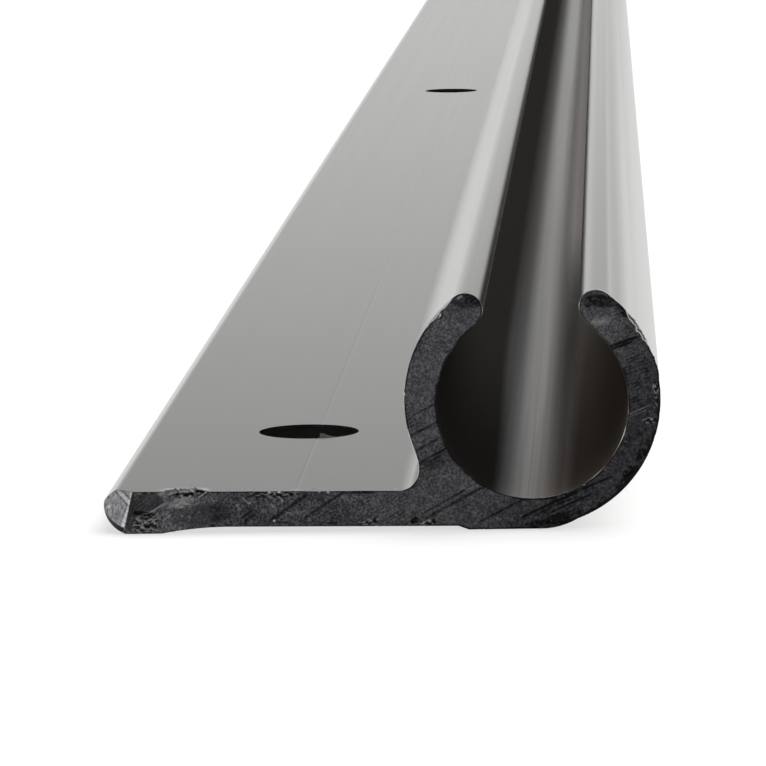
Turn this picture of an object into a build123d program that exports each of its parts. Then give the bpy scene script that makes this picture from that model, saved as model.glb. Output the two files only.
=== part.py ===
"""Awning rail: one length of extruded aluminium with a screw flange and a slotted round channel.

The rail lies on its back. X runs across it, from the flange's edge to the channel, Y along it and
Z up, away from the wall or roof that it is screwed to. The origin is under the middle of its box.
All sizes are in millimetres.
"""
from build123d import *
from math import acos, atan2, cos, hypot, pi, radians, sin, sqrt
import os

# Stock
rail_length = 1000.0
overall_width = 27.0

# Channel that holds the awning's beaded edge
channel_outer_r = 6.15
channel_bore_r = 4.6
bore_drop = 0.16  # the bore sits a little low, so the wall is thickest at the lips
slot_gap = 4.6
lip_r = 0.84
near_lip_rise = 0.08  # the lip beside the flange stands this much above the wall's middle line
far_lip_rise = 0.18

# Screw flange, which rises slightly from the channel to the foot
flange_t = 1.74
root_fillet_r = 1.1
pad_recess = 0.18  # the underside's lift beside the channel's pad
foot_recess = 0.29  # the underside's lift where the foot's hollow begins
pad_proud = 0.1  # the pad stands this far below the channel's outer round
pad_reach = 3.15  # the flat pad, measured from the channel's centre line towards the flange
pad_step_run = 0.5
pad_run_out = 0.35  # the flat goes on past the centre line, then curves up into the outer round
pad_meet_angle = 20.0  # where it meets the round, from straight down

# Foot and rounded edge of the flange
edge_top_r = 0.8
foot_width = 2.9  # from the flange's edge to the end of the foot's flat
heel_run = 3.4  # the foot's flat rises to the hollow over this run

# Screw holes, drilled square to the back
screw_hole_d = 5.2
screw_hole_inset = 8.85
screw_count = 5
screw_end_margin = 20.0

# Corner ground off beside the sawn end that faces the viewer
corner_top_run = 1.45
corner_foot_run = 1.1
corner_depth = 1.1


class Round:
    """A circle in the section, with points on it by angle from straight up, turning to +X."""

    def __init__(self, x, z, radius):
        self.x, self.z, self.radius = x, z, radius

    def at(self, angle):
        return (self.x + self.radius * sin(angle), self.z + self.radius * cos(angle))

    def towards(self, x, z):
        """The point on the circle that lies towards a place."""
        reach = hypot(x - self.x, z - self.z)
        return (
            self.x + self.radius * (x - self.x) / reach,
            self.z + self.radius * (z - self.z) / reach,
        )


def flat_onto(wall, lip, side, inside):
    """The ends of the straight, on the side away from the slot, that runs from a wall's round
    into a lip's round. The lip lies inside the wall's round or outside it."""
    if inside:
        touching = wall.radius - lip.radius
    else:
        touching = wall.radius + lip.radius
    reach = hypot(lip.x - wall.x, lip.z - wall.z)
    angle = atan2(lip.x - wall.x, lip.z - wall.z) + side * acos(min(1.0, touching / reach))
    return wall.at(angle), lip.at(angle if inside else angle + pi)


# Channel: an outer round above the pad, and a bore set lower by bore_drop
channel_x = overall_width / 2 - channel_outer_r
outer = Round(channel_x, pad_proud + channel_outer_r, channel_outer_r)
bore = Round(channel_x, outer.z - bore_drop, channel_bore_r)

# Lips: full rounds on the middle line of the wall, raised a little, with slot_gap between them.
# A short straight on each side leads into them.
lip_ring_r = (channel_outer_r + channel_bore_r) / 2
lip_ring_z = (outer.z + bore.z) / 2
lip_offset = slot_gap / 2 + lip_r
lip_z = lip_ring_z + sqrt(lip_ring_r**2 - lip_offset**2)
lips = {
    -1: Round(channel_x - lip_offset, lip_z + near_lip_rise, lip_r),
    1: Round(channel_x + lip_offset, lip_z + far_lip_rise, lip_r),
}

# Underside of the flange, a straight line from the foot's hollow to the pad
edge_x = -overall_width / 2
foot_end_x = edge_x + foot_width
hollow_x = foot_end_x + heel_run
pad_x = channel_x - pad_reach
slope = (pad_recess - foot_recess) / (pad_x - hollow_x)


def underside(x):
    return foot_recess + slope * (x - hollow_x)


# Edge of the flange: a small round above a larger one, which meet upright at the outermost line
edge_top_x = edge_x + edge_top_r
edge_top_z = underside(edge_top_x) + flange_t
edge_under_r = edge_top_z - edge_top_r
edge_top = Round(edge_top_x, edge_under_r, edge_top_r)
edge_under = Round(edge_x + edge_under_r, edge_under_r, edge_under_r)

# Fillet between the flange's top and the channel, touching both
lean = hypot(1.0, slope)
fillet_reach = channel_outer_r + root_fillet_r
fillet_line_z = underside(channel_x) + flange_t + root_fillet_r * lean - outer.z
fillet_dx = (-slope * fillet_line_z - sqrt((fillet_reach * lean) ** 2 - fillet_line_z**2)) / lean**2
fillet = Round(channel_x + fillet_dx, outer.z + fillet_line_z + slope * fillet_dx, root_fillet_r)
fillet_on_flange = (fillet.x + root_fillet_r * slope / lean, fillet.z - root_fillet_r / lean)
fillet_on_channel = fillet.towards(outer.x, outer.z)
fillet_middle = fillet.towards(
    (fillet_on_flange[0] + fillet_on_channel[0]) / 2,
    (fillet_on_flange[1] + fillet_on_channel[1]) / 2,
)

# Places on the outline, in order round it from the foot
foot_start = (edge_x + edge_under_r, 0.0)
foot_end = (foot_end_x, 0.0)
hollow = (hollow_x, foot_recess)
step_top = (pad_x - pad_step_run, underside(pad_x - pad_step_run))
pad_start = (pad_x, 0.0)
pad_end = (channel_x + pad_run_out, 0.0)
pad_meet = outer.at(pi - radians(pad_meet_angle))
lip_outside = {side: flat_onto(outer, lip, side, inside=True) for side, lip in lips.items()}
lip_inside = {side: flat_onto(bore, lip, side, inside=False) for side, lip in lips.items()}
lip_nose = {side: lip.at(-side * pi / 2) for side, lip in lips.items()}

with BuildPart() as rail:
    with BuildSketch(Plane.XZ):
        with BuildLine():
            Line(foot_start, foot_end)
            TangentArc(hollow, foot_end, tangent=(-1, -slope))
            Line(hollow, step_top)
            Line(step_top, pad_start)
            Line(pad_start, pad_end)
            TangentArc(pad_end, pad_meet, tangent=(1, 0))
            ThreePointArc(pad_meet, outer.at(pi / 2), lip_outside[1][0])
            Line(*lip_outside[1])
            ThreePointArc(lip_outside[1][1], lip_nose[1], lip_inside[1][1])
            Line(*lip_inside[1])
            ThreePointArc(lip_inside[1][0], bore.at(pi), lip_inside[-1][0])
            Line(*lip_inside[-1])
            ThreePointArc(lip_inside[-1][1], lip_nose[-1], lip_outside[-1][1])
            Line(*lip_outside[-1])
            ThreePointArc(lip_outside[-1][0], outer.at(-pi / 2), fillet_on_channel)
            ThreePointArc(fillet_on_channel, fillet_middle, fillet_on_flange)
            Line(fillet_on_flange, edge_top.at(0.0))
            ThreePointArc(edge_top.at(0.0), edge_top.at(-pi / 4), edge_top.at(-pi / 2))
            ThreePointArc(edge_under.at(-pi / 2), edge_under.at(-3 * pi / 4), foot_start)
        make_face()
    extrude(amount=rail_length / 2, both=True)

    # Screw holes, evenly spread between the end margins
    screw_span = rail_length - 2 * screw_end_margin
    screw_pitch = screw_span / (screw_count - 1)
    screw_x = edge_x + screw_hole_inset
    screw_places = [
        (screw_x, -screw_span / 2 + number * screw_pitch, 0.0) for number in range(screw_count)
    ]
    with Locations(*screw_places):
        Cylinder(
            radius=screw_hole_d / 2,
            height=edge_top_z,
            align=(Align.CENTER, Align.CENTER, Align.MIN),
            mode=Mode.SUBTRACT,
        )

    # Ground corner: everything outside a plane through three points on the corner
    end_y = -rail_length / 2
    corner_top = Vector(edge_x + corner_top_run, end_y, edge_top_z)
    corner_foot = Vector(edge_x + corner_foot_run, end_y, 0.0)
    corner_back = Vector(edge_x, end_y + corner_depth, edge_under_r)
    corner_normal = (corner_foot - corner_top).cross(corner_back - corner_top)
    split(bisect_by=Plane(origin=corner_top, z_dir=corner_normal), keep=Keep.TOP)

rail.part.label = "awning_rail"
os.makedirs("parts", exist_ok=True)
export_step(rail.part, "parts/awning_rail.step")
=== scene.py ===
from math import acos, atan2, ceil, cos, exp, hypot, pi, radians, sin, sqrt

import bmesh
import bpy
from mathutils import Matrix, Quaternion, Vector, noise
from mathutils.geometry import delaunay_2d_cdt
from mathutils.kdtree import KDTree


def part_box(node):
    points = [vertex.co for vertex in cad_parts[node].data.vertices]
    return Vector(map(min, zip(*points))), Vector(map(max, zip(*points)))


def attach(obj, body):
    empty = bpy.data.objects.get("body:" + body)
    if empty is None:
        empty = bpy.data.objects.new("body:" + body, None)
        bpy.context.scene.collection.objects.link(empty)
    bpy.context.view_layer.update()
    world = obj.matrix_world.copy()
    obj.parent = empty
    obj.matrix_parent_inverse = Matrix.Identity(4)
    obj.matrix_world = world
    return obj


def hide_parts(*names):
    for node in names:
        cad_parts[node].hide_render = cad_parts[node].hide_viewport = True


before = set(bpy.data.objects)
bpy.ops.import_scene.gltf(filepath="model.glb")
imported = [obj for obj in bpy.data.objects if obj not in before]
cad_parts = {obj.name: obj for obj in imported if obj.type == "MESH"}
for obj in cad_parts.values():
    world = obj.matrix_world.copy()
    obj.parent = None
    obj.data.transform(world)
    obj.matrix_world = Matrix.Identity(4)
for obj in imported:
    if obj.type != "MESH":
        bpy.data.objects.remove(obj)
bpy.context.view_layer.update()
scene = bpy.context.scene

# Extruded stock
# The real piece is one length of aluminium, pressed hot through a die. A flat screw flange runs
# into a round channel, which is slotted along its top for the beaded edge of an awning.
# The section is walked round once, in millimetres, and everything else is drawn from it.
mm = 0.001
rail_low, rail_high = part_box("awning_rail")
front_y = rail_low.y / mm
back_y = rail_high.y / mm

overall_width = 27.0
channel_outer_r = 6.15
channel_bore_r = 4.6
bore_drop = 0.16
slot_gap = 4.6
lip_r = 0.84
near_lip_rise = 0.08
far_lip_rise = 0.18
flange_t = 1.74
root_fillet_r = 1.1
pad_recess = 0.18
foot_recess = 0.29
pad_proud = 0.1
pad_reach = 3.15
pad_step_run = 0.5
pad_run_out = 0.35
pad_meet_angle = 20.0
edge_top_r = 0.8
foot_width = 2.9
heel_run = 3.4
screw_hole_d = 5.2
screw_hole_inset = 8.85
screw_count = 5
screw_end_margin = 20.0
point_gap = 0.055
die_line_x = -4.1
die_line_half = 0.07
die_line_depth = 0.02

# Where the real section stands off the plain construction: centre, half length, amount outwards
swells = [
    ((1.75, 3.05), 1.10, 0.11),
    ((11.75, 10.55), 1.00, 0.07),
    ((-13.20, 1.85), 0.55, -0.09),
]


class Round:
    """A circle in the section."""

    def __init__(self, x, z, radius):
        self.centre = Vector((x, z))
        self.radius = radius

    def towards(self, place):
        """The point on the circle that lies towards a place."""
        return self.centre + self.radius * (Vector(place) - self.centre).normalized()

    def walk(self, start, end, turn):
        """Points from start up to but not including end, turn 1 leftwards and -1 rightwards."""
        first = atan2(start[1] - self.centre.y, start[0] - self.centre.x)
        last = atan2(end[1] - self.centre.y, end[0] - self.centre.x)
        angle = (turn * (last - first)) % (2 * pi)
        steps = max(4, ceil(angle * self.radius / point_gap))
        angles = [first + turn * angle * k / steps for k in range(steps)]
        return [self.centre + self.radius * Vector((cos(a), sin(a))) for a in angles]


def straight(start, end):
    """Points from start up to but not including end."""
    start, end = Vector(start), Vector(end)
    steps = max(1, round((end - start).length / point_gap))
    return [start.lerp(end, k / steps) for k in range(steps)]


def bend(start, heading, end):
    """The circle that leaves start along a heading and passes through end."""
    start, end = Vector(start), Vector(end)
    side = Vector((-heading[1], heading[0])).normalized()
    reach = (end - start).length_squared / (2 * (end - start).dot(side))
    return Round(*(start + reach * side), abs(reach))


def flat_onto(wall, lip, side, inside):
    """The ends of the straight, away from the slot, that runs from a wall's round into a lip's."""
    touching = wall.radius - lip.radius if inside else wall.radius + lip.radius
    apart = lip.centre - wall.centre
    angle = atan2(apart.x, apart.y) + side * acos(min(1.0, touching / apart.length))
    away = Vector((sin(angle), cos(angle)))
    return wall.centre + wall.radius * away, lip.centre + lip.radius * (away if inside else -away)


channel_x = overall_width / 2 - channel_outer_r
outer = Round(channel_x, pad_proud + channel_outer_r, channel_outer_r)
bore = Round(channel_x, outer.centre.y - bore_drop, channel_bore_r)

lip_ring_r = (channel_outer_r + channel_bore_r) / 2
lip_ring_z = (outer.centre.y + bore.centre.y) / 2
lip_offset = slot_gap / 2 + lip_r
lip_z = lip_ring_z + sqrt(lip_ring_r**2 - lip_offset**2)
near_lip = Round(channel_x - lip_offset, lip_z + near_lip_rise, lip_r)
far_lip = Round(channel_x + lip_offset, lip_z + far_lip_rise, lip_r)

edge_x = -overall_width / 2
foot_end = (edge_x + foot_width, 0.0)
hollow = (foot_end[0] + heel_run, foot_recess)
pad_x = channel_x - pad_reach
flange_slope = (pad_recess - foot_recess) / (pad_x - hollow[0])


def underside(x):
    """The height of the line along the shallow recess under the flange."""
    return foot_recess + flange_slope * (x - hollow[0])


edge_top_x = edge_x + edge_top_r
edge_top_z = underside(edge_top_x) + flange_t
edge_under_r = edge_top_z - edge_top_r
edge_top = Round(edge_top_x, edge_under_r, edge_top_r)
edge_under = Round(edge_x + edge_under_r, edge_under_r, edge_under_r)
foot_start = (edge_x + edge_under_r, 0.0)

lean = hypot(1.0, flange_slope)
fillet_reach = channel_outer_r + root_fillet_r
fillet_line_z = underside(channel_x) + flange_t + root_fillet_r * lean - outer.centre.y
fillet_root = sqrt((fillet_reach * lean) ** 2 - fillet_line_z**2)
fillet_dx = (-flange_slope * fillet_line_z - fillet_root) / lean**2
fillet_z = outer.centre.y + fillet_line_z + flange_slope * fillet_dx
fillet = Round(channel_x + fillet_dx, fillet_z, root_fillet_r)
fillet_foot_x = fillet.centre.x + root_fillet_r * flange_slope / lean
fillet_on_flange = (fillet_foot_x, fillet.centre.y - root_fillet_r / lean)
fillet_on_channel = fillet.towards(outer.centre)

heel = bend(hollow, (-1.0, -flange_slope), foot_end)
step_top = (pad_x - pad_step_run, underside(pad_x - pad_step_run))
pad_start = (pad_x, 0.0)
pad_end = (channel_x + pad_run_out, 0.0)
pad_meet_turn = radians(pad_meet_angle)
pad_meet = outer.centre + outer.radius * Vector((sin(pad_meet_turn), -cos(pad_meet_turn)))
pad_round = bend(pad_end, (1.0, 0.0), pad_meet)
edge_crown = edge_top.towards((edge_top_x, edge_top_z))
edge_side = (edge_x, edge_under_r)
far_outside = flat_onto(outer, far_lip, 1, inside=True)
far_inside = flat_onto(bore, far_lip, 1, inside=False)
near_outside = flat_onto(outer, near_lip, -1, inside=True)
near_inside = flat_onto(bore, near_lip, -1, inside=False)


def smooth(value, start, end):
    """0 before start, 1 after end, and an even bend between them."""
    t = min(1.0, max(0.0, (value - start) / (end - start)))
    return t * t * (3 - 2 * t)


def normals(points):
    """The direction out of the section at each point of its closed line."""
    pairs = zip(points[-1:] + points[:-1], points[1:] + points[:1])
    sides = [(after - before).normalized() for before, after in pairs]
    return [Vector((side.y, -side.x)) for side in sides]


def flange_top(x):
    """The point on the flange's plain top at x."""
    return (x, underside(x) + flange_t)


die_line_right = flange_top(die_line_x + die_line_half)
die_line_left = flange_top(die_line_x - die_line_half)
die_line_root = (die_line_x, flange_top(die_line_x)[1] - die_line_depth)

outline = [
    *straight(foot_start, foot_end),
    *heel.walk(foot_end, hollow, -1),
    *straight(hollow, step_top),
    *straight(step_top, pad_start),
    *straight(pad_start, pad_end),
    *pad_round.walk(pad_end, pad_meet, 1),
    *outer.walk(pad_meet, far_outside[0], 1),
    *straight(*far_outside),
    *far_lip.walk(far_outside[1], far_inside[1], 1),
    *straight(far_inside[1], far_inside[0]),
    *bore.walk(far_inside[0], near_inside[0], -1),
    *straight(*near_inside),
    *near_lip.walk(near_inside[1], near_outside[1], 1),
    *straight(near_outside[1], near_outside[0]),
    *outer.walk(near_outside[0], fillet_on_channel, 1),
    *fillet.walk(fillet_on_channel, fillet_on_flange, -1),
    *straight(fillet_on_flange, die_line_right),
    *straight(die_line_right, die_line_root),
    *straight(die_line_root, die_line_left),
    *straight(die_line_left, edge_crown),
    *edge_top.walk(edge_crown, edge_side, 1),
    *edge_under.walk(edge_side, foot_start, 1),
]
for place, away in zip(outline, normals(outline)):
    for centre, half_long, amount in swells:
        place += amount * (1 - smooth((place - Vector(centre)).length / half_long, 0.0, 1.0)) * away
    place.x = min(place.x, rail_high.x / mm)
    place.y = min(place.y, rail_high.z / mm)
count = len(outline)
outward = normals(outline)

# The long plain stretch is drawn from the section and drilled by Geometry Nodes. The last few
# millimetres at each end are left off it, because the saw's marks are modelled there.
end_stretch = 3.0
weld_gap = 0.0001
drill_sides = 96
drill_depth = 3 * flange_t
stock_front = front_y + end_stretch
stock_back = back_y - end_stretch

extruded = bpy.data.materials.new("extruded_aluminium")
drilled = bpy.data.materials.new("drilled_wall")
sawn = bpy.data.materials.new("sawn_end")
ground = bpy.data.materials.new("ground_corner")

blank = bmesh.new()
ring = [blank.verts.new((p.x * mm, stock_front * mm, p.y * mm)) for p in reversed(outline)]
blank.faces.new(ring)
blank_mesh = bpy.data.meshes.new("blank")
blank.to_mesh(blank_mesh)
blank.free()
stock = bpy.data.objects.new("stock", blank_mesh)
scene.collection.objects.link(stock)

tree = bpy.data.node_groups.new("drilled_stock", "GeometryNodeTree")
inputs = {}
for name, kind in {
    "Geometry": "NodeSocketGeometry",
    "Length": "NodeSocketFloat",
    "Hole Diameter": "NodeSocketFloat",
    "Hole Count": "NodeSocketInt",
    "Hole Pitch": "NodeSocketFloat",
    "First Hole": "NodeSocketVector",
    "Drill Depth": "NodeSocketFloat",
}.items():
    inputs[name] = tree.interface.new_socket(name=name, in_out="INPUT", socket_type=kind)
tree.interface.new_socket(name="Geometry", in_out="OUTPUT", socket_type="NodeSocketGeometry")


def add(tree, kind, **settings):
    """A node of that kind, with its settings and its unlinked inputs set by name."""
    node = tree.nodes.new(kind)
    for name, value in settings.items():
        if hasattr(node, name):
            setattr(node, name, value)
        else:
            node.inputs[name.replace("_", " ")].default_value = value
    return node


def link(tree, *pairs):
    """Each pair is an output socket and the input socket that it feeds."""
    for source, target in pairs:
        tree.links.new(source, target)


given = add(tree, "NodeGroupInput").outputs
along = add(tree, "ShaderNodeCombineXYZ")
draw = add(tree, "GeometryNodeExtrudeMesh", mode="FACES", Individual=False)
turned = add(tree, "GeometryNodeFlipFaces")
closed = add(tree, "GeometryNodeJoinGeometry")
merged = add(tree, "GeometryNodeMergeByDistance", Distance=weld_gap * mm)
link(
    tree,
    (given["Length"], along.inputs["Y"]),
    (given["Geometry"], draw.inputs["Mesh"]),
    (along.outputs[0], draw.inputs["Offset"]),
    (given["Geometry"], turned.inputs[0]),
    (turned.outputs[0], closed.inputs[0]),
    (draw.outputs["Mesh"], closed.inputs[0]),
    (closed.outputs[0], merged.inputs[0]),
)
pitch = add(tree, "ShaderNodeCombineXYZ")
row = add(tree, "GeometryNodeMeshLine")
radius = add(tree, "ShaderNodeMath", operation="DIVIDE")
radius.inputs[1].default_value = 2.0
drill = add(tree, "GeometryNodeMeshCylinder", Vertices=drill_sides)
drill_wall = add(tree, "GeometryNodeSetMaterial", Material=drilled)
drills = add(tree, "GeometryNodeInstanceOnPoints")
drills_real = add(tree, "GeometryNodeRealizeInstances")
cut = add(tree, "GeometryNodeMeshBoolean", operation="DIFFERENCE", solver="EXACT")
link(
    tree,
    (given["Hole Pitch"], pitch.inputs["Y"]),
    (given["Hole Count"], row.inputs["Count"]),
    (given["First Hole"], row.inputs["Start Location"]),
    (pitch.outputs[0], row.inputs["Offset"]),
    (given["Hole Diameter"], radius.inputs[0]),
    (radius.outputs[0], drill.inputs["Radius"]),
    (given["Drill Depth"], drill.inputs["Depth"]),
    (drill.outputs["Mesh"], drill_wall.inputs["Geometry"]),
    (row.outputs["Mesh"], drills.inputs["Points"]),
    (drill_wall.outputs[0], drills.inputs["Instance"]),
    (drills.outputs[0], drills_real.inputs[0]),
    (merged.outputs[0], cut.inputs["Mesh 1"]),
    (drills_real.outputs[0], cut.inputs["Mesh 2"]),
)
real = add(tree, "GeometryNodeRealizeInstances")
is_drilled = add(tree, "GeometryNodeMaterialSelection", Material=drilled)
as_pressed = add(tree, "FunctionNodeBooleanMath", operation="NOT")
skin = add(tree, "GeometryNodeSetMaterial", Material=extruded)
result = add(tree, "NodeGroupOutput")
link(
    tree,
    (cut.outputs["Mesh"], real.inputs[0]),
    (real.outputs[0], skin.inputs["Geometry"]),
    (is_drilled.outputs[0], as_pressed.inputs[0]),
    (as_pressed.outputs[0], skin.inputs["Selection"]),
    (skin.outputs[0], result.inputs[0]),
)

screw_x = edge_x + screw_hole_inset
screw_pitch = (back_y - front_y - 2 * screw_end_margin) / (screw_count - 1)
modifier = stock.modifiers.new("drilled_stock", "NODES")
modifier.node_group = tree
modifier[inputs["Length"].identifier] = (stock_back - stock_front) * mm
modifier[inputs["Hole Diameter"].identifier] = screw_hole_d * mm
modifier[inputs["Hole Count"].identifier] = screw_count
modifier[inputs["Hole Pitch"].identifier] = screw_pitch * mm
first_hole = (screw_x * mm, (front_y + screw_end_margin) * mm, flange_t / 2 * mm)
modifier[inputs["First Hole"].identifier] = first_hole
modifier[inputs["Drill Depth"].identifier] = drill_depth * mm
evaluated = stock.evaluated_get(bpy.context.evaluated_depsgraph_get())
rail_mesh = bpy.data.meshes.new_from_object(evaluated)
stock.modifiers.remove(modifier)
bpy.data.objects.remove(stock)

# The stretch is cut open at both ends, so that the sawn faces can be built onto it.
rail = bmesh.new()
rail.from_mesh(rail_mesh)
grime_and_shade_layer = rail.verts.layers.float.new("grime_and_shade")
torn_and_highlight_layer = rail.verts.layers.float.new("torn_and_highlight")


def lies_at(face, y):
    """Whether the whole face lies across the rail at that place along it."""
    return all(abs(vert.co.y - y * mm) < 0.001 * mm for vert in face.verts)


caps = [face for face in rail.faces if lies_at(face, stock_front) or lies_at(face, stock_back)]
bmesh.ops.delete(rail, geom=caps, context="FACES_ONLY")
skin_index = rail_mesh.materials.find("extruded_aluminium")
sawn_index = len(rail_mesh.materials)
ground_index = sawn_index + 1

# A flap of swarf still hangs on the near rim of the first hole and rises over it. Its middle and
# half width are angles round the hole, and its other sizes are millimetres.
flap_middle = radians(-65)
flap_half = radians(11)
flap_reach = 1.0
flap_rise = 0.15
flap_wall = 0.06
flap_steps = 12
flap_lap = 0.02
flap_lift = 0.01
flap_root = screw_hole_d / 2 + flap_lap


def by_hole(angle, reach, rise):
    """A place at that reach from the first hole's axis and that rise above the flange."""
    x = screw_x + reach * cos(angle)
    y = front_y + screw_end_margin + reach * sin(angle)
    return (x * mm, y * mm, (flange_top(x)[1] + rise) * mm)


# Slices across the flap, from one side of it to the other, with the longest in the middle
slices = []
for k in range(flap_steps + 1):
    t = 2 * k / flap_steps - 1
    ragged = 0.95 + 0.4 * noise.noise((2.5 * t, 3.3, 0.0))
    share = (0.53 + 0.47 * cos(pi * t)) * ragged
    tip = flap_root - flap_reach * share
    top = flap_rise * share
    under = [(tip, top - flap_wall / 2), (flap_root, -flap_wall)]
    over = [(flap_root, flap_lift), (tip, top)]
    angle = flap_middle + t * flap_half
    slices.append([rail.verts.new(by_hole(angle, *corner)) for corner in under + over])
sides = [slices[0], slices[-1][::-1]]
for here, there in zip(slices, slices[1:]):
    sides += [(here[i], there[i], there[(i + 1) % 4], here[(i + 1) % 4]) for i in range(4)]
for side in sides:
    rail.faces.new(side).material_index = skin_index

# Sawn ends
# A blade cut the stock across. It left a dark matt grain, long shallow arcs and torn crumbs along
# the edges, and the corner of the flange was touched with a grinder afterwards.
# The marks at the near end are drawn in relief, from short lists in millimetres of the section.

# The mesh: the spacing of its points at each end, how deep the rings lie that join it to the
# plain stretch, and the angle past which an edge is drawn sharp
cell = 0.042
far_cell = 0.16
front_rings = (0.08, 0.2, 0.5, 1.2, end_stretch)
back_rings = (0.1, end_stretch)
crease = radians(35)

# The sawn face lies just inside the rail's length, and a narrow slope breaks its edge
face_sink = 0.03
edge_break = 0.015
edge_slope = 0.4
edge_shares = (0.15, 0.55, 1.0)
edge_middle = edge_shares[1]

# The blade's marks: the centre of its arcs, the gap of the fine ones, a patch of them, and the
# middle of the burr on the flange, where the dirty rim is missing
blade_centre = Vector((34.0, -54.9))
fine_line_gap = 0.17
fine_patch = (2.4, 3.7)
burr_middle = (-9.45, 2.1)

# The ground corner: its run along the flange's top and foot, its depth at the flange's edge, the
# direction of the grinder, its stripe, its arcs, a nick and the height of the lower rim painted as
# shade
corner_top_run = 1.53
corner_foot_run = 1.02
corner_depth = 1.1
grind_turn = 55
stripe_middle = (-12.46, 1.83)
stripe_turn = -43.0
arc_centre = Vector((-12.2, 1.0))
arc_gap = 0.15
nick_middle = (-13.22, 1.22)
shaded_rim_height = 0.34


def noise_at(place, size, seed):
    """Smooth noise from -1 to 1 in lumps of about that size."""
    return noise.noise((place.x / size, place.y / size, 7.31 * seed))


def turned_to(place, centre, turn):
    """The place measured from a centre, along a direction in degrees and across it."""
    x, z = place.x - centre[0], place.y - centre[1]
    c, s = cos(radians(turn)), sin(radians(turn))
    return Vector((x * c + z * s, z * c - x * s))


def oval(place, centre, half_long, half_wide, turn=0.0):
    """1 in the middle of an oval patch, and 0 from its rim outwards."""
    if abs(place.x - centre[0]) > half_long or abs(place.y - centre[1]) > half_long:
        return 0.0
    along, off = turned_to(place, centre, turn)
    return 1 - smooth((along / half_long) ** 2 + (off / half_wide) ** 2, 0.3, 1.0)


def stroke(place, start, end, half_wide):
    """1 on a straight scratch, and 0 from its sides outwards."""
    start, run = Vector(start), Vector(end) - Vector(start)
    if (place - start).length > run.length + half_wide:
        return 0.0
    t = (place - start).dot(run) / max(1e-9, run.length_squared)
    return 1 - smooth((place - start - min(1.0, max(0.0, t)) * run).length, 0.3 * half_wide, half_wide)


# Grooves of the blade: distance from its centre, first and last X, half width, depth
grooves = [
    (68.95, -6.9, -6.1, 0.05, 0.04),
    (68.72, -6.8, -6.0, 0.06, 0.05),
    (68.02, -5.6, -3.4, 0.09, 0.06),
    (67.16, -3.8, -1.6, 0.06, 0.05),
    (68.60, 1.4, 2.9, 0.04, 0.02),
    (67.80, 1.3, 3.0, 0.05, 0.06),
    (67.05, 1.6, 2.9, 0.05, 0.05),
    (66.45, 1.8, 3.4, 0.05, 0.05),
    (66.27, 2.0, 3.0, 0.04, 0.03),
    (64.25, 1.9, 4.2, 0.05, 0.05),
    (63.98, 2.0, 5.2, 0.08, 0.05),
    (62.55, 4.6, 7.0, 0.04, 0.04),
    (61.80, 6.6, 11.3, 0.045, 0.06),
    (61.62, 7.2, 9.0, 0.035, 0.03),
    (61.40, 8.0, 10.2, 0.04, 0.04),
    (67.68, 10.8, 12.5, 0.05, 0.04),
    (67.52, 10.7, 12.3, 0.05, 0.03),
]

# Darker film below 0 and lighter smears above it: centre, half length and width, turn, tone
tones = [
    ((-11.45, 1.50), 1.15, 0.55, 5, -0.60),
    ((-12.10, 0.75), 0.60, 0.30, 75, -0.75),
    ((-12.02, 1.60), 0.50, 0.10, 78, -0.90),
    ((-8.60, 0.85), 1.60, 0.65, 10, -0.50),
    ((-9.65, 1.50), 0.80, 0.32, 15, 0.30),
    ((-10.35, 1.95), 0.55, 0.18, -8, 0.22),
    ((-9.35, 2.10), 0.95, 0.14, 3, 0.40),
    ((11.75, 8.93), 0.90, 0.20, 20, -0.40),
    ((3.00, 2.60), 1.20, 1.20, 0, -0.12),
    ((11.90, 2.35), 0.90, 0.32, 48, -0.35),
    # A dark band over the right lip's top
    ((10.65, 11.00), 0.90, 0.36, -12, -0.60),
    ((2.93, 10.37), 0.22, 0.12, 50, 0.90),
    ((4.25, 11.05), 0.85, 0.40, -8, -0.55),
    ((10.65, 9.98), 0.60, 0.25, 8, 0.10),
]

# Black pits and stains: centre, half length and width, turn in degrees, depth
pits = [
    ((-11.45, 0.99), 0.66, 0.14, -8, 0.12),
    ((-9.75, 1.93), 0.24, 0.06, -4, 0.14),
    ((-9.32, 1.88), 0.38, 0.055, 18, 0.14),
    ((-8.77, 2.06), 0.32, 0.05, 0, 0.12),
    ((-8.52, 1.86), 0.28, 0.035, 33, 0.05),
    ((-8.15, 0.40), 0.25, 0.06, 0, 0.03),
    ((-4.85, 0.50), 0.60, 0.06, 0, 0.03),
    ((-2.45, 0.42), 0.40, 0.06, 0, 0.03),
    ((1.60, 0.50), 0.28, 0.17, 30, 0.10),
    ((6.25, 0.32), 0.30, 0.10, 0, 0.03),
    ((8.50, 0.50), 0.80, 0.34, 14, 0.09),
    ((7.50, 0.27), 0.75, 0.20, 5, 0.07),
    ((2.52, 10.00), 0.24, 0.06, 38, 0.12),
    ((-0.90, 1.90), 1.05, 0.09, 1, 0.04),
    ((12.50, 3.55), 0.42, 0.24, 60, 0.08),
    ((11.88, 2.75), 0.45, 0.22, 50, 0.07),
    ((10.60, 1.25), 0.80, 0.18, 32, 0.02),
    ((12.80, 7.90), 0.60, 0.22, 105, 0.02),
    # The dark band over the right lip's top
    ((10.75, 11.00), 0.85, 0.36, -12, 0.05),
    ((10.10, 11.00), 0.45, 0.30, 70, 0.02),
    ((11.75, 10.50), 0.60, 0.22, -47, 0.06),
    ((4.10, 10.95), 0.42, 0.16, 10, 0.02),
    ((2.80, 10.25), 0.30, 0.08, 45, 0.03),
]

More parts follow.
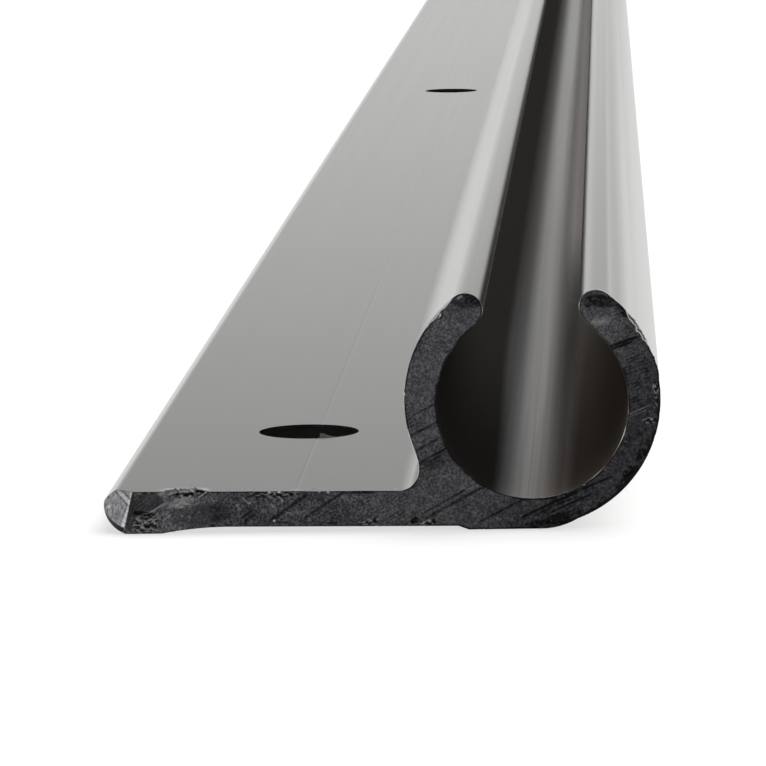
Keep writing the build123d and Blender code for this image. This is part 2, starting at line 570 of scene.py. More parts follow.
# Torn places: centre, half length and width, turn in degrees, depth, share of bare metal
tears = [
    ((-11.35, 0.45), 0.75, 0.62, 4, 0.12, 0.55),
    ((-9.45, 1.98), 1.20, 0.26, 2, 0.10, 0.45),
    ((-11.30, 2.00), 0.45, 0.08, 0, 0.04, 0.30),
    ((-9.55, 1.48), 0.80, 0.36, 18, 0.02, 0.20),
    ((-5.20, 1.85), 1.50, 0.20, 2, 0.04, 0.35),
    ((2.25, 0.38), 0.50, 0.20, 10, 0.05, 0.70),
    ((-0.60, 0.45), 0.70, 0.16, 8, 0.03, 0.45),
    ((2.98, 10.34), 0.26, 0.16, 50, 0.05, 1.00),
    ((13.25, 6.75), 0.36, 0.16, 95, 0.05, 0.70),
    ((13.30, 6.20), 0.45, 0.10, 95, 0.03, 0.35),
    ((12.95, 5.20), 0.40, 0.20, 0, 0.03, 0.40),
    ((9.60, 2.75), 0.30, 0.14, 30, 0.04, 0.50),
]

# Bright scratches and specks: start, end, half width, share of bare metal
scratches = [
    ((-11.21, 1.02), (-10.40, 1.50), 0.045, 0.28),
    ((-10.54, 0.63), (-10.15, 0.93), 0.045, 0.25),
    ((-8.42, 1.99), (-8.77, 1.76), 0.05, 0.28),
    ((11.99, 5.50), (12.93, 5.91), 0.035, 0.15),
    ((12.02, 5.38), (12.80, 5.70), 0.025, 0.12),
    ((8.90, 1.72), (9.60, 2.05), 0.04, 0.10),
    ((-6.66, 1.72), (-6.38, 1.41), 0.04, 0.24),
    ((-6.40, 1.42), (-6.30, 1.47), 0.05, 0.34),
    ((-6.98, 1.36), (-6.84, 1.16), 0.05, 0.18),
    ((-5.18, 0.56), (-5.16, 0.58), 0.07, 0.80),
    ((-4.90, 1.72), (-4.72, 1.51), 0.05, 0.26),
    ((-5.28, 1.38), (-5.18, 1.22), 0.05, 0.22),
    ((-5.40, 1.95), (-5.34, 1.98), 0.07, 0.70),
    ((-4.93, 1.97), (-4.88, 1.97), 0.08, 0.90),
    ((-2.99, 1.97), (-2.95, 1.97), 0.06, 0.80),
    ((-2.56, 1.93), (-2.52, 1.91), 0.06, 0.60),
    ((-9.64, 0.85), (-9.60, 0.87), 0.06, 0.28),
    ((-9.26, 0.80), (-9.24, 0.82), 0.06, 0.22),
    ((9.66, 2.16), (9.76, 2.14), 0.10, 0.25),
    ((3.90, 11.22), (4.04, 11.30), 0.09, 0.26),
    ((9.25, 2.55), (9.35, 2.78), 0.08, 0.22),
    ((10.35, 9.93), (10.80, 10.02), 0.035, 0.20),
    ((10.50, 9.85), (10.95, 9.98), 0.03, 0.16),
    ((10.25, 9.98), (10.55, 10.10), 0.03, 0.14),
    ((11.42, 9.60), (11.50, 9.95), 0.03, 0.12),
]

# Burrs and wear along the edges, and a painted highlight line along the bore's lower right rim:
# centre, half length, height, width of the bright edge
worn_edges = [
    ((-9.45, 2.05), 1.35, 0.17, 0.00),
    ((1.60, 3.60), 1.50, 0.02, 0.03),
    ((1.20, 6.72), 0.22, 0.05, 0.12),
    ((2.90, 10.60), 1.20, 0.03, 0.08),
    ((10.60, 11.35), 1.30, 0.00, 0.03),
    ((12.45, 9.65), 1.15, 0.08, 0.17),
    ((13.30, 7.80), 0.80, 0.06, 0.00),
    # Painted highlight: a bright line along the bore's lower right rim, without a burr
    ((11.55, 4.60), 2.00, 0.00, 0.020),
    ((10.30, 2.65), 1.00, 0.00, 0.020),
]

edge_finder = KDTree(count)
for k, p in enumerate(outline):
    edge_finder.insert((p.x, p.y, 0.0), k)
edge_finder.balance()


def nearest(place):
    """The number of the outline's point that is nearest to a place."""
    return edge_finder.find((place[0], place[1], 0.0))[1]


def front_wear(place):
    """How far the near end's edge stands out, and how wide a bright line it shows."""
    ragged = noise_at(place, 0.12, 15)
    height = 0.02 * ragged * smooth(noise_at(place, 0.6, 14), 0.0, 0.5)
    shine = 0.0
    for centre, half_long, high, bright in worn_edges:
        share = 1 - smooth((place - Vector(centre)).length / half_long, 0.3, 1.0)
        height += share * high * (0.85 + 0.6 * ragged)
        shine += share * bright * (0.9 + 1.1 * noise_at(place, 0.35, 18))
    return height, max(0.0, shine)


standing_out = [front_wear(p)[0] for p in outline]
corner_top = outline[nearest((edge_x + corner_top_run, edge_top_z))]
corner_foot = outline[nearest((edge_x + corner_foot_run, 0.0))]
corner_run = (corner_top - corner_foot).normalized()
corner_across = Vector((-corner_run.y, corner_run.x))
corner_reach = (Vector(edge_side) - corner_foot).dot(corner_across)


def corner_inset(place):
    """How far a place lies past the ground corner's line, towards the flange's edge."""
    return (place - corner_foot).dot(corner_across)


class Mark:
    """What an end has at one place: its depth, its dirt and painted shade, and its torn bare metal and
    painted highlights.
    """

    def __init__(self, depth, grime_and_shade=0.0, torn_and_highlight=0.0):
        self.depth = max(0.004, depth)
        self.grime_and_shade = min(1.0, max(0.0, grime_and_shade))
        self.torn_and_highlight = min(1.0, max(0.0, torn_and_highlight))


def corner_mark(place, past, from_edge):
    """The ground corner: a wide stroke of the grinder, a painted highlight along its ridge and painted
    shade on its lower rim.
    """
    lines = noise_at(turned_to(place, (0, 0), grind_turn), 0.09, 3)
    depth = corner_depth * past / corner_reach + 0.004 * lines
    along, off = turned_to(place, stripe_middle, stripe_turn)
    in_stripe = 1 - smooth(abs(along), 0.35, 0.55)
    torn_and_highlight = 0.45 * in_stripe * (1 - smooth(abs(off), 0.07, 0.12))
    grime_and_shade = 0.45 * in_stripe * (1 - smooth(abs(abs(off) - 0.16), 0.02, 0.06))
    torn_and_highlight += 0.2 * smooth(off, 0.2, 0.3) * smooth(place.y, 1.4, 1.7)
    # Painted highlight: bare metal colour along the ridge where the corner meets the sawn face
    ridge = 0.06 + 0.1 * (1 - smooth(place.y, 0.4, 1.3))
    torn_and_highlight += (1 - smooth(past, ridge, ridge + 0.04)) * (0.9 - 0.35 * smooth(place.y, 1.0, 1.5))
    from_centre = (place - arc_centre).length + 0.1 * noise_at(place, 0.3, 25)
    shade = 0.5 * cos(2 * pi * from_centre / arc_gap) + noise_at(place, 0.16, 26)
    torn_and_highlight += 0.22 * smooth(shade, 0.1, 0.9)
    grime_and_shade += 0.3 * smooth(-shade, 0.1, 0.9)
    grime_and_shade += 0.35 * (1 - smooth(from_edge, 0.03, 0.09)) * smooth(lines, -0.2, 0.3)
    torn_and_highlight += 0.8 * oval(place, nick_middle, 0.10, 0.08)
    # Painted shade: the lower rim, facing the floor, is made nearly black
    rim = shaded_rim_height * (1 - smooth(place.y, 0.1, 1.25)) - from_edge
    under = smooth(rim, -0.02, 0.03)
    return Mark(face_sink + depth + 0.6 * max(0.0, rim), grime_and_shade + under, torn_and_highlight * (1 - under))


def front_mark(place):
    """The near end's surface at one place."""
    k = nearest(place)
    from_edge = (outline[k] - place).dot(outward[k]) + standing_out[k]
    past = corner_inset(place)
    if past > 0:
        return corner_mark(place, past, from_edge)
    reach = (place - blade_centre).length
    depth = face_sink + 0.006 * noise_at(place, 0.16, 1) + 0.005 * noise_at(place, 0.07, 2)
    low_right = smooth(place.x - place.y, 1.5, 8.0)
    middle = smooth(place.x, -8.8, -7.0) * (1 - smooth(place.x, -3.5, 0.0))
    grime_and_shade = 0.1 + 0.46 * low_right + 0.22 * middle + 0.12 * smooth(place.x, 10.5, 13.0)
    grime_and_shade += 0.2 * noise_at(place, 1.6, 7) + 0.15 * noise_at(place, 0.35, 8)
    grime_and_shade += 0.3 * low_right * noise_at(place, 0.22, 29)
    torn_and_highlight = 0.05 * (1 - smooth(place.x, -9.0, -7.5))
    crumbs = smooth(noise_at(place, 0.085, 21), 0.52, 0.75)
    torn_and_highlight += 0.3 * crumbs * smooth(noise_at(place, 1.3, 22), 0.0, 0.4)

    for centre, half_long, half_wide, turn, tone in tones:
        share = oval(place, centre, half_long, half_wide, turn) * (1 + 0.5 * noise_at(place, 0.14, 27))
        grime_and_shade += max(0.0, -tone) * share
        torn_and_highlight += max(0.0, tone) * share

    # Fine lines beside each other, in patches
    patch = smooth(noise_at(place, 1.9, 6), -0.1, 0.5) + oval(place, fine_patch, 1.2, 0.9, 30)
    wavy_reach = reach + 0.05 * noise_at(place, 0.8, 9)
    fine = patch * (0.5 + 0.5 * cos(2 * pi * wavy_reach / fine_line_gap))
    depth += 0.008 * fine
    grime_and_shade += 0.4 * fine * smooth(noise_at(place, 0.5, 11), -0.3, 0.3)
    for distance, first, last, half_wide, deep in grooves:
        if abs(reach - distance) < 2 * half_wide and first < place.x < last:
            line = exp(-(((reach - distance) / half_wide) ** 2))
            line *= smooth(place.x, first, first + 0.25) * (1 - smooth(place.x, last - 0.25, last))
            line *= 0.75 + 0.5 * noise_at(place, 0.2, 23)
            depth += deep * line
            grime_and_shade += 0.8 * line
    for centre, half_long, half_wide, turn, deep in pits:
        black = oval(place, centre, half_long, half_wide, turn)
        if black > 0:
            black = smooth(black + 0.6 * noise_at(place, 0.13, 13), 0.35, 0.9)
            depth += deep * black
            stain = min(1.0, 0.68 + 6 * max(0.0, deep - 0.03)) + 0.4 * noise_at(place, 0.12, 24)
            grime_and_shade = max(grime_and_shade, black * stain)
            torn_and_highlight *= 1 - black
    for centre, half_long, half_wide, turn, deep, share in tears:
        rough = oval(place, centre, half_long, half_wide, turn)
        if rough > 0:
            along, off = turned_to(place, centre, turn)
            lump = noise.noise((along / 0.2, off / 0.075, 4 * deep)) + 0.5 * noise_at(place, 0.07, 12)
            depth += rough * deep * (0.4 - lump)
            torn_and_highlight += rough * share * smooth(lump, 0.0, 0.5)
            grime_and_shade += rough * smooth(-lump, -0.05, 0.25)
    bright = 0.0
    for start, end, half_wide, share in scratches:
        bright = max(bright, share * stroke(place, start, end, half_wide))

    # The dirty rim, wider at the lower right and missing where the burr stands
    rim_width = 0.08 + 0.05 * smooth(place.x, 0.0, 2.0) + 0.05 * noise_at(place, 0.4, 16)
    rim_width += 0.09 * smooth(place.x - place.y, 7.5, 9.0) * (1 + noise_at(place, 0.25, 28))
    rim = 1 - smooth(from_edge, 0.3 * rim_width, rim_width)
    rim *= smooth(noise_at(place, 0.5, 17), -0.7, 0.1)
    rim *= 1 - 0.7 * oval(place, burr_middle, 1.5, 0.5)
    soot = 0.8 - 0.35 * smooth(place.x, 8.0, 11.0) * smooth(place.y, 0.8, 2.5)
    opened = 0.62 * min(1.0, torn_and_highlight) * (1 - 0.8 * rim)
    return Mark(depth + 0.02 * rim, grime_and_shade + soot * rim, opened + bright)


def back_mark(place):
    """The far end's surface at one place."""
    return Mark(face_sink + 0.012 * noise_at(place, 0.3, 8))


def kept_in(place):
    """A place no further out than the rail's box."""
    x = min(rail_high.x / mm, max(edge_x, place.x))
    return Vector((x, min(rail_high.z / mm, max(0.0, place.y))))


def back_wear(place):
    """The far end's edge is left clean."""
    return 0.0, 0.0


def lattice(rim, spacing):
    """Places in the section's box on a jittered triangular grid, clear of the rim."""
    row_gap = spacing * sqrt(3) / 2
    near_rim = {}
    for place in rim:
        spot = (round(place.x / spacing), round(place.y / spacing))
        near_rim.setdefault(spot, []).append(place)
    inner = []
    for j in range(1, int(rail_high.z / mm / row_gap)):
        for i in range(int(overall_width / spacing) + 1):
            jitter = 0.2 * spacing * Vector((noise.noise((i, j, 0.5)), noise.noise((i, j, 9.5))))
            place = Vector((edge_x + (i + 0.5 * (j % 2)) * spacing, j * row_gap)) + jitter
            a, b = round(place.x / spacing), round(place.y / spacing)
            spots = [(a + da, b + db) for da in (-1, 0, 1) for db in (-1, 0, 1)]
            near = [q for spot in spots for q in near_rim.get(spot, [])]
            if all((q - place).length > 0.6 * spacing for q in near):
                inner.append(place)
    return inner


def add_end(end_y, stock_y, spacing, depths, mark_at, wear_at):
    """The rings between the stock and one end, and the sawn face that closes them."""
    inward = 1 if stock_y > end_y else -1
    wear = [wear_at(p) for p in outline]
    rim = [kept_in(p + (h - w - edge_break) * n) for p, n, (h, w) in zip(outline, outward, wear)]
    rim_depths = [mark_at(p).depth for p in rim]
    edges = [(k, (k + 1) % count) for k in range(count)]
    places, _, faces, _, _, _ = delaunay_2d_cdt(rim + lattice(rim, spacing), edges, [], 1, 1e-5)
    verts = [None] * len(places)
    for k in {k for face in faces for k in face}:
        mark = mark_at(places[k])
        y = end_y + inward * mark.depth
        verts[k] = rail.verts.new((places[k].x * mm, y * mm, places[k].y * mm))
        verts[k][grime_and_shade_layer] = mark.grime_and_shade
        verts[k][torn_and_highlight_layer] = mark.torn_and_highlight
    for face in faces:
        made = rail.faces.new([verts[k] for k in (face if inward > 0 else reversed(face))])
        middle = sum((places[k] for k in face), Vector((0, 0))) / len(face)
        is_ground = inward > 0 and corner_inset(middle) > 0
        made.material_index = ground_index if is_ground else sawn_index

    # The bright edge: a narrow slope with a dull middle where it is wide. Behind it, rings carry
    # the rail's skin from the edge, with its burrs, to the plain stretch.
    rings = [verts[:count]]
    for share in edge_shares:
        ring = []
        for p, n, (h, w), deep in zip(outline, outward, wear, rim_depths):
            spot = kept_in(p + (h - (1 - share) * (w + edge_break)) * n)
            y = end_y + inward * (deep + share * (edge_break + edge_slope * w))
            vert = rail.verts.new((spot.x * mm, y * mm, spot.y * mm))
            dull_middle = smooth(w, 0.08, 0.14) if share == edge_middle else 0.0
            # Bare where the bright edge is wide; on the bore's lower right rim this is a painted
            # highlight
            vert[torn_and_highlight_layer] = smooth(w, 0.0, 0.05) * (1 - dull_middle)
            vert[grime_and_shade_layer] = dull_middle
            ring.append(vert)
        rings.append(ring)
    for depth in depths:
        ring = []
        for p, n, (h, w), deep in zip(outline, outward, wear, rim_depths):
            burr = h * (1 - smooth(depth, 0.1, 0.5))
            spot = kept_in(p + burr * n)
            y = end_y + inward * (depth + (deep + edge_slope * w) * (1 - depth / end_stretch))
            ring.append(rail.verts.new((spot.x * mm, y * mm, spot.y * mm)))
            ring[-1][grime_and_shade_layer] = smooth(burr, 0.04, 0.1) * (1 - smooth(w, 0.01, 0.05))
        rings.append(ring)
    for ring, after in zip(rings, rings[1:]):
        for k, m in edges:
            corners = (ring[k], ring[m], after[m], after[k])
            made = rail.faces.new(corners if inward < 0 else tuple(reversed(corners)))
            made.material_index = skin_index


add_end(front_y, stock_front, cell, front_rings, front_mark, front_wear)
add_end(back_y, stock_back, far_cell, back_rings, back_mark, back_wear)
bmesh.ops.remove_doubles(rail, verts=rail.verts, dist=0.001 * mm)
bmesh.ops.recalc_face_normals(rail, faces=rail.faces)
for face in rail.faces:
    face.smooth = True
for edge in rail.edges:
    flat = all(face.material_index >= sawn_index for face in edge.link_faces)
    edge.smooth = flat or edge.calc_face_angle() < crease
rail.to_mesh(rail_mesh)
rail.free()
rail_mesh.name = "rail"
rail_mesh.materials.append(sawn)
rail_mesh.materials.append(ground)
rail = bpy.data.objects.new("rail", rail_mesh)
scene.collection.objects.link(rail)

# Finish of the pressed surfaces: satin aluminium with fine lines drawn along it by the die, so
# its gloss spreads wider across the rail than along it. Inside the bore, painted shade darkens
# the walls, and the floor, where the bead of the awning runs, is left brighter.
extruded.use_nodes = True
tree = extruded.node_tree
shader = tree.nodes["Principled BSDF"]
shader.inputs["Specular Tint"].default_value = (0.58, 0.578, 0.572, 1)
shader.inputs["Anisotropic"].default_value = 0.65
shader.inputs["Specular IOR Level"].default_value = 0.0
place = add(tree, "ShaderNodeTexCoord")
split = add(tree, "ShaderNodeSeparateXYZ")
link(tree, (place.outputs["Object"], split.inputs[0]))


def calc(tree, operation, first, second=None):
    """The output of a Math node, whose inputs are sockets or numbers."""
    node = add(tree, "ShaderNodeMath", operation=operation)
    for socket, value in zip(node.inputs, (first, second)):
        if value is None:
            continue
        if isinstance(value, (int, float)):
            socket.default_value = value
        else:
            tree.links.new(value, socket)
    return node.outputs[0]


def ramp(tree, value, start, end, low=0.0, high=1.0):
    """A value carried smoothly from start..end to low..high."""
    node = add(tree, "ShaderNodeMapRange", interpolation_type="SMOOTHSTEP")
    for name, number in zip(("From Min", "From Max", "To Min", "To Max"), (start, end, low, high)):
        node.inputs[name].default_value = number
    tree.links.new(value, node.inputs["Value"])
    return node.outputs["Result"]


def blend(tree, factor, first, second):
    """A colour mixed between two, each a socket or a plain colour."""
    node = add(tree, "ShaderNodeMix", data_type="RGBA")
    tree.links.new(factor, node.inputs["Factor"])
    for name, value in (("A", first), ("B", second)):
        socket = [s for s in node.inputs if s.name == name and s.type == "RGBA"][0]
        if isinstance(value, tuple):
            socket.default_value = (*value, 1)
        else:
            tree.links.new(value, socket)
    return [s for s in node.outputs if s.type == "RGBA"][0]


across_x = calc(tree, "SUBTRACT", split.outputs["X"], channel_x * mm)
across_z = calc(tree, "SUBTRACT", split.outputs["Z"], bore.centre.y * mm)
square_x = calc(tree, "MULTIPLY", across_x, across_x)
square_z = calc(tree, "MULTIPLY", across_z, across_z)
from_axis = calc(tree, "SQRT", calc(tree, "ADD", square_x, square_z))
in_bore = ramp(tree, from_axis, (channel_bore_r + 0.5) * mm, (channel_bore_r + 0.05) * mm)


def lengthwise(first, last, low=0.0, high=1.0):
    """A value that goes from low to high between two distances from the near end."""
    return ramp(tree, split.outputs["Y"], (front_y + first) * mm, (front_y + last) * mm, low, high)


def crosswise(first, last, low=0.0, high=1.0):
    """A value that goes from low to high between two distances right of the bore's middle."""
    return ramp(tree, across_x, first * mm, last * mm, low, high)


# Painted shade covers the bore off its floor, further down at the mouth. Deeper in, it thins to the
# right, and there the floor is painted pale and matt, as painted light.
mouth = lengthwise(60, 2, 0.0, 0.26 * mm)
painted_wall_shade = ramp(tree, calc(tree, "ADD", split.outputs["Z"], mouth), 1.55 * mm, 2.25 * mm)
to_right = crosswise(-1.0, 3.5)
thinner_shade_right = calc(tree, "MULTIPLY", to_right, lengthwise(40, 120, 0.0, 0.35))
painted_wall_shade = calc(tree, "MULTIPLY", painted_wall_shade, calc(tree, "SUBTRACT", 1.0, thinner_shade_right))
deep = lengthwise(40, 130)
painted_floor_light = calc(tree, "MULTIPLY", deep, crosswise(0.0, 1.3, 0.0, 0.95))
painted_bore_shading = calc(tree, "MULTIPLY", in_bore, calc(tree, "MAXIMUM", painted_wall_shade, painted_floor_light))

# Noise stretched along the rail gives the die's fine lines and streaks
drawn = add(tree, "ShaderNodeMapping")
drawn.inputs["Scale"].default_value = (1.0, 0.004, 1.0)
streaks = add(tree, "ShaderNodeTexNoise", Scale=2600.0, Detail=4.0, Roughness=0.6)
lines = add(tree, "ShaderNodeTexNoise", Scale=14000.0, Detail=2.0)
link(
    tree,
    (place.outputs["Object"], drawn.inputs["Vector"]),
    (drawn.outputs[0], streaks.inputs["Vector"]),
    (drawn.outputs[0], lines.inputs["Vector"]),
)

# The bore's floor is rubbed by the bead, with a darker line and streaks, and painted shade darkens it
# deep inside on the left
bright = blend(tree, streaks.outputs["Fac"], (0.59, 0.585, 0.57), (0.62, 0.615, 0.6))
rubbed = blend(tree, crosswise(-1.3, 0.0), (0.365, 0.37, 0.38), (0.49, 0.44, 0.405))
off_line = calc(tree, "ABSOLUTE", calc(tree, "ADD", across_x, 0.3 * mm))
line = ramp(tree, off_line, 0.07 * mm, 0.02 * mm, 0.0, 0.6)
worn_streaks = calc(tree, "MAXIMUM", line, ramp(tree, streaks.outputs["Fac"], 0.45, 0.6, 0.0, 0.45))
lined = blend(tree, worn_streaks, rubbed, (0.24, 0.23, 0.22))
# Painted shade on the floor's left, deep inside
shaded = calc(tree, "MULTIPLY", deep, crosswise(0.8, -0.6))
bore_colour = blend(tree, in_bore, bright, blend(tree, shaded, lined, (0.25, 0.237, 0.225)))

# Painted shade, darkest at the mouth and on the left, and paler deeper in on the right
mouth_shade_colour = blend(tree, to_right, (0.0155, 0.014, 0.012), (0.105, 0.086, 0.07))
deep_shade_colour = blend(tree, to_right, (0.043, 0.039, 0.034), (0.2, 0.165, 0.135))
# Painted light: deep inside on the right the floor is pale grey
deep_shade_colour = blend(tree, painted_floor_light, deep_shade_colour, (0.76, 0.725, 0.695))
bore_shade_colour = blend(tree, lengthwise(3, 55), mouth_shade_colour, deep_shade_colour)
shaded_skin = blend(tree, painted_bore_shading, bore_colour, bore_shade_colour)

# The worn edge is bare and matt, which also makes the painted highlight line on the bore's lower right
# rim, and the burrs on it are soiled
torn_and_highlight = add(tree, "ShaderNodeAttribute", attribute_name="torn_and_highlight")
bare = ramp(tree, torn_and_highlight.outputs["Fac"], 0.1, 0.7)
grime_and_shade = add(tree, "ShaderNodeAttribute", attribute_name="grime_and_shade")
edge_colour = blend(tree, bare, shaded_skin, (0.55, 0.55, 0.54))
soiled_and_shaded = blend(tree, grime_and_shade.outputs["Fac"], edge_colour, (0.05, 0.05, 0.05))
link(tree, (soiled_and_shaded, shader.inputs["Base Color"]))
# The painted shade and the pale painted floor in the bore are mostly matt, and so is the bare edge
not_metal = calc(tree, "MAXIMUM", calc(tree, "MULTIPLY", painted_bore_shading, 0.85), bare)
link(tree, (calc(tree, "SUBTRACT", 1.0, not_metal), shader.inputs["Metallic"]))
gloss = ramp(tree, streaks.outputs["Fac"], 0.3, 0.7, 0.195, 0.207)
bore_gloss = calc(tree, "ADD", gloss, calc(tree, "MULTIPLY", in_bore, 0.045))
link(tree, (calc(tree, "MAXIMUM", bore_gloss, bare), shader.inputs["Roughness"]))
bump = add(tree, "ShaderNodeBump", Strength=0.25, Distance=0.000004)
link(tree, (lines.outputs["Fac"], bump.inputs["Height"]), (bump.outputs[0], shader.inputs["Normal"]))

# The gloss is stretched along a direction that lies across the stock at every place
facing = add(tree, "ShaderNodeNewGeometry")
sideways = add(tree, "ShaderNodeVectorMath", operation="CROSS_PRODUCT")
sideways.inputs[1].default_value = (0.0, 1.0, 0.0)
link(
    tree,
    (facing.outputs["Normal"], sideways.inputs[0]),
    (sideways.outputs[0], shader.inputs["Tangent"]),
)

# Finish of the sawn ends: dark matt grain, nearly black in the grooves and bright where torn
sawn.use_nodes = True
tree = sawn.node_tree
shader = tree.nodes["Principled BSDF"]
shader.inputs["Metallic"].default_value = 0.5
shader.inputs["Specular IOR Level"].default_value = 0.1
place = add(tree, "ShaderNodeTexCoord")
grain = add(tree, "ShaderNodeTexNoise", Scale=8500.0, Detail=3.0, Roughness=0.65)
grime_and_shade = add(tree, "ShaderNodeAttribute", attribute_name="grime_and_shade")
torn_and_highlight = add(tree, "ShaderNodeAttribute", attribute_name="torn_and_highlight")
link(tree, (place.outputs["Object"], grain.inputs["Vector"]))
speckle = ramp(tree, grain.outputs["Fac"], 0.35, 0.7)
split = add(tree, "ShaderNodeSeparateXYZ")
link(tree, (place.outputs["Object"], split.inputs[0]))
coarse = blend(tree, speckle, (0.026, 0.026, 0.0276), (0.154, 0.154, 0.165))
fine = blend(tree, speckle, (0.042, 0.042, 0.044), (0.117, 0.117, 0.126))
matt = blend(tree, ramp(tree, split.outputs["X"], -3.0 * mm, 1.0 * mm), coarse, fine)
greasy = blend(tree, speckle, (0.017, 0.017, 0.0185), (0.048, 0.048, 0.0535))
film = blend(tree, ramp(tree, grime_and_shade.outputs["Fac"], 0.0, 0.65), matt, greasy)
dark = blend(tree, ramp(tree, grime_and_shade.outputs["Fac"], 0.6, 1.0), film, (0.005, 0.005, 0.006))
colour = blend(tree, torn_and_highlight.outputs["Fac"], dark, (0.64, 0.64, 0.65))
link(tree, (colour, shader.inputs["Base Color"]))
link(tree, (ramp(tree, grain.outputs["Fac"], 0.3, 0.7, 0.65, 0.45), shader.inputs["Roughness"]))
bump = add(tree, "ShaderNodeBump", Strength=0.6, Distance=0.00002)
link(tree, (grain.outputs["Fac"], bump.inputs["Height"]), (bump.outputs[0], shader.inputs["Normal"]))

# Finish of the ground corner: bright metal with the grinder's lines across it, a painted highlight
# along its ridge and nearly black painted shade on its lower rim
ground.use_nodes = True
tree = ground.node_tree
shader = tree.nodes["Principled BSDF"]
shader.inputs["Metallic"].default_value = 1.0
shader.inputs["Roughness"].default_value = 0.4
place = add(tree, "ShaderNodeTexCoord")
turned = add(tree, "ShaderNodeMapping")
turned.inputs["Rotation"].default_value = (0.0, radians(45), 0.0)
turned.inputs["Scale"].default_value = (1.0, 1.0, 0.4)
grain = add(tree, "ShaderNodeTexNoise", Scale=9000.0, Detail=2.0)
torn_and_highlight = add(tree, "ShaderNodeAttribute", attribute_name="torn_and_highlight")
link(
    tree,
    (place.outputs["Object"], turned.inputs["Vector"]),
    (turned.outputs[0], grain.inputs["Vector"]),
)
grime_and_shade = add(tree, "ShaderNodeAttribute", attribute_name="grime_and_shade")
stroked = ramp(tree, grain.outputs["Fac"], 0.3, 0.7)
lined = blend(tree, stroked, (0.17, 0.17, 0.178), (0.36, 0.36, 0.37))
shiny = blend(tree, torn_and_highlight.outputs["Fac"], lined, (0.68, 0.68, 0.69))
soiled_and_shaded = blend(tree, grime_and_shade.outputs["Fac"], shiny, (0.01, 0.01, 0.012))
link(tree, (soiled_and_shaded, shader.inputs["Base Color"]))
bump = add(tree, "ShaderNodeBump", Strength=0.5, Distance=0.00001)
link(tree, (grain.outputs["Fac"], bump.inputs["Height"]), (bump.outputs[0], shader.inputs["Normal"]))

# Finish of the drilled holes: turned walls, coloured nearly black as painted shade inside the holes
drilled.use_nodes = True
tree = drilled.node_tree
shader = tree.nodes["Principled BSDF"]
shader.inputs["Metallic"].default_value = 0.6
shader.inputs["Specular IOR Level"].default_value = 0.05
place = add(tree, "ShaderNodeTexCoord")
rings = add(tree, "ShaderNodeMapping")
rings.inputs["Scale"].default_value = (0.1, 0.1, 1.0)
lines = add(tree, "ShaderNodeTexNoise", Scale=9000.0, Detail=2.0)
link(
    tree,
    (place.outputs["Object"], rings.inputs["Vector"]),
    (rings.outputs[0], lines.inputs["Vector"]),
)
# Painted shade: the hole walls are nearly black, with faint turning lines
painted_hole_shade = blend(tree, lines.outputs["Fac"], (0.004, 0.004, 0.004), (0.026, 0.026, 0.026))
link(tree, (painted_hole_shade, shader.inputs["Base Color"]))
link(tree, (ramp(tree, lines.outputs["Fac"], 0.3, 0.7, 0.35, 0.6), shader.inputs["Roughness"]))

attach(rail, "root")
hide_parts("awning_rail")

# Floor
floor_reach = 40.0
floor_mesh = bpy.data.meshes.new("floor")
signs = [(-1, -1), (1, -1), (1, 1), (-1, 1)]
corners = [(x * floor_reach, y * floor_reach, 0) for x, y in signs]
floor_mesh.from_pydata(corners, [], [(0, 1, 2, 3)])
floor = bpy.data.objects.new("floor", floor_mesh)
scene.collection.objects.link(floor)
glowing_floor = bpy.data.materials.new("glowing_white_floor")
glowing_floor.use_nodes = True
shader = glowing_floor.node_tree.nodes["Principled BSDF"]
shader.inputs["Base Color"].default_value = (0.6, 0.6, 0.6, 1)
shader.inputs["Roughness"].default_value = 0.9
# The floor glows evenly as well as reflecting light, which lightens its shadows, also under the flange
shader.inputs["Emission Color"].default_value = (1, 1, 1, 1)
shader.inputs["Emission Strength"].default_value = 0.5
floor_mesh.materials.append(glowing_floor)

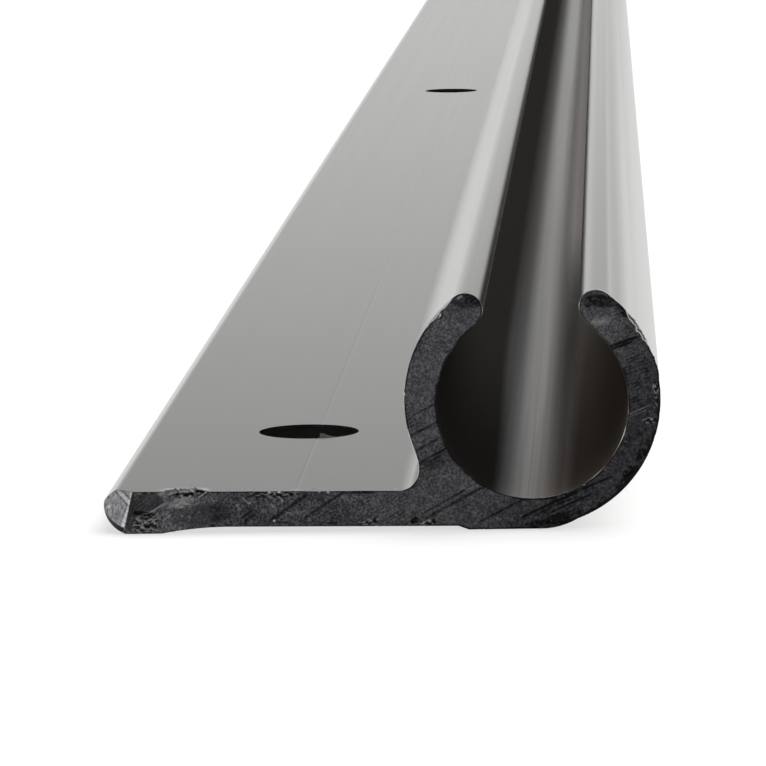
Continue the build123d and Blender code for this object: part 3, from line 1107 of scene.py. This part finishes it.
# Studio light
world = bpy.data.worlds.new("studio")
scene.world = world
world.use_nodes = True
tree = world.node_tree
background = tree.nodes["Background"]
place = add(tree, "ShaderNodeTexCoord")
split = add(tree, "ShaderNodeSeparateXYZ")
link(tree, (place.outputs["Generated"], split.inputs[0]))
fall = tree.nodes.new("ShaderNodeValToRGB")
link(tree, (split.outputs["Z"], fall.inputs["Fac"]))
# The studio's brightness by height, from the horizon at 0 to straight above at 1
stops = {0.0: 1.0, 0.05: 1.0, 0.1: 0.9, 0.15: 0.68, 0.25: 0.3, 0.4: 0.1, 0.7: 0.3, 1.0: 0.5}
elements = fall.color_ramp.elements
while len(elements) < len(stops):
    elements.new(0.5)
for element, (position, value) in zip(elements, stops.items()):
    element.position = position
    element.color = (value, value, value, 1)
link(tree, (fall.outputs["Color"], background.inputs["Color"]))

# The right side of the studio is a little dimmer
right_side = ramp(tree, split.outputs["X"], 0.02, 0.13, 1.0, 0.72)
link(tree, (right_side, background.inputs["Strength"]))

# One broad soft light from above, which the metal doesn't mirror
overhead_data = bpy.data.lights.new("overhead", "SUN")
overhead_data.energy = 2.8
overhead_data.angle = radians(70)
overhead = bpy.data.objects.new("overhead", overhead_data)
scene.collection.objects.link(overhead)
overhead.rotation_euler = (radians(-18), radians(26), 0)
overhead.visible_glossy = False
scene.view_settings.view_transform = "Standard"

# Camera, low in front of the near end. Its lens is given in pixels of the photograph's width.
eye = Vector((11.19, -730.05, 38.08)) * mm
aim = Vector((-0.14, -492.45, 6.17)) * mm
photo_lens = 4850.0
photo_width = 766.0
sensor_width = 36.0
camera_roll = radians(-1.215)
camera_data = bpy.data.cameras.new("photo_view")
camera_data.sensor_width = sensor_width
camera_data.lens = photo_lens / photo_width * sensor_width
camera_data.clip_start = 0.01
camera_data.clip_end = 200.0
camera = bpy.data.objects.new("photo_view", camera_data)
scene.collection.objects.link(camera)
camera.location = eye
camera.rotation_mode = "QUATERNION"
look = (aim - eye).to_track_quat("-Z", "Y")
camera.rotation_quaternion = look @ Quaternion((0, 0, 1), camera_roll)
scene.camera = camera
